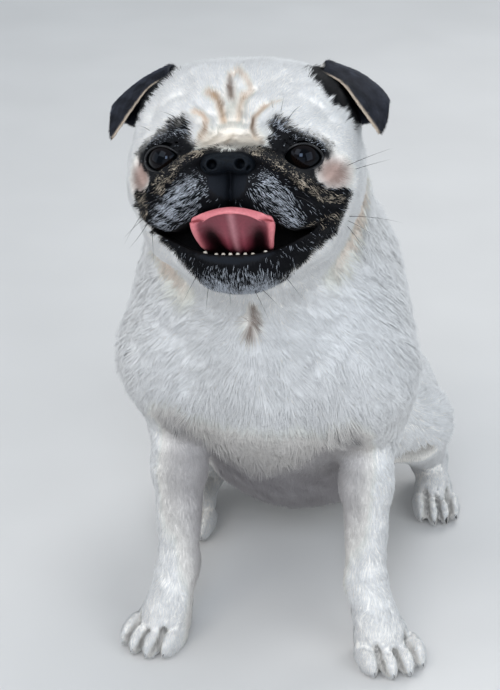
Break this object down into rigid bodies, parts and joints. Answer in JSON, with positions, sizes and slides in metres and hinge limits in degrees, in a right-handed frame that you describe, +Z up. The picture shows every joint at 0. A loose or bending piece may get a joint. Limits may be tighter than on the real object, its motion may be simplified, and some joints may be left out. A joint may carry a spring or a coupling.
{
  "type": "pug",
  "caption": "Life-size sitting pug with folded button ears, wrinkled face, open mouth with the tongue out, and a curled tail.",
  "frame": {"origin": "middle of the bounding box in plan, at the floor that the paws, hocks and rump rest on", "axes": "the dog faces -Y, its left side is +X, +Z is up"},
  "size_m": [0.2235, 0.4149, 0.4229],
  "materials": {
    "coat": "short soft cream-white fur, warmer in the folds",
    "mask": "black mask fur with grey-white hairs",
    "ear": "black velvety fur",
    "eye": "wet dark brown, almost black",
    "nose": "moist black nose leather",
    "tongue": "wet pink"
  },
  "bodies": {
    "root": {"head": "coat", "lower_jaw": "mask", "tongue": "tongue", "nose": "nose", "eye_left": "eye", "eye_right": "eye", "ear_left": "ear", "ear_right": "ear", "neck": "coat", "torso": "coat", "tail": "coat", "shoulder_left": "coat", "shoulder_right": "coat", "forearm_left": "coat", "forearm_right": "coat", "front_paw_left": "coat", "front_paw_right": "coat", "thigh_left": "coat", "thigh_right": "coat", "hock_left": "coat", "hock_right": "coat", "hind_paw_left": "coat", "hind_paw_right": "coat"}
  },
  "joints": []
}
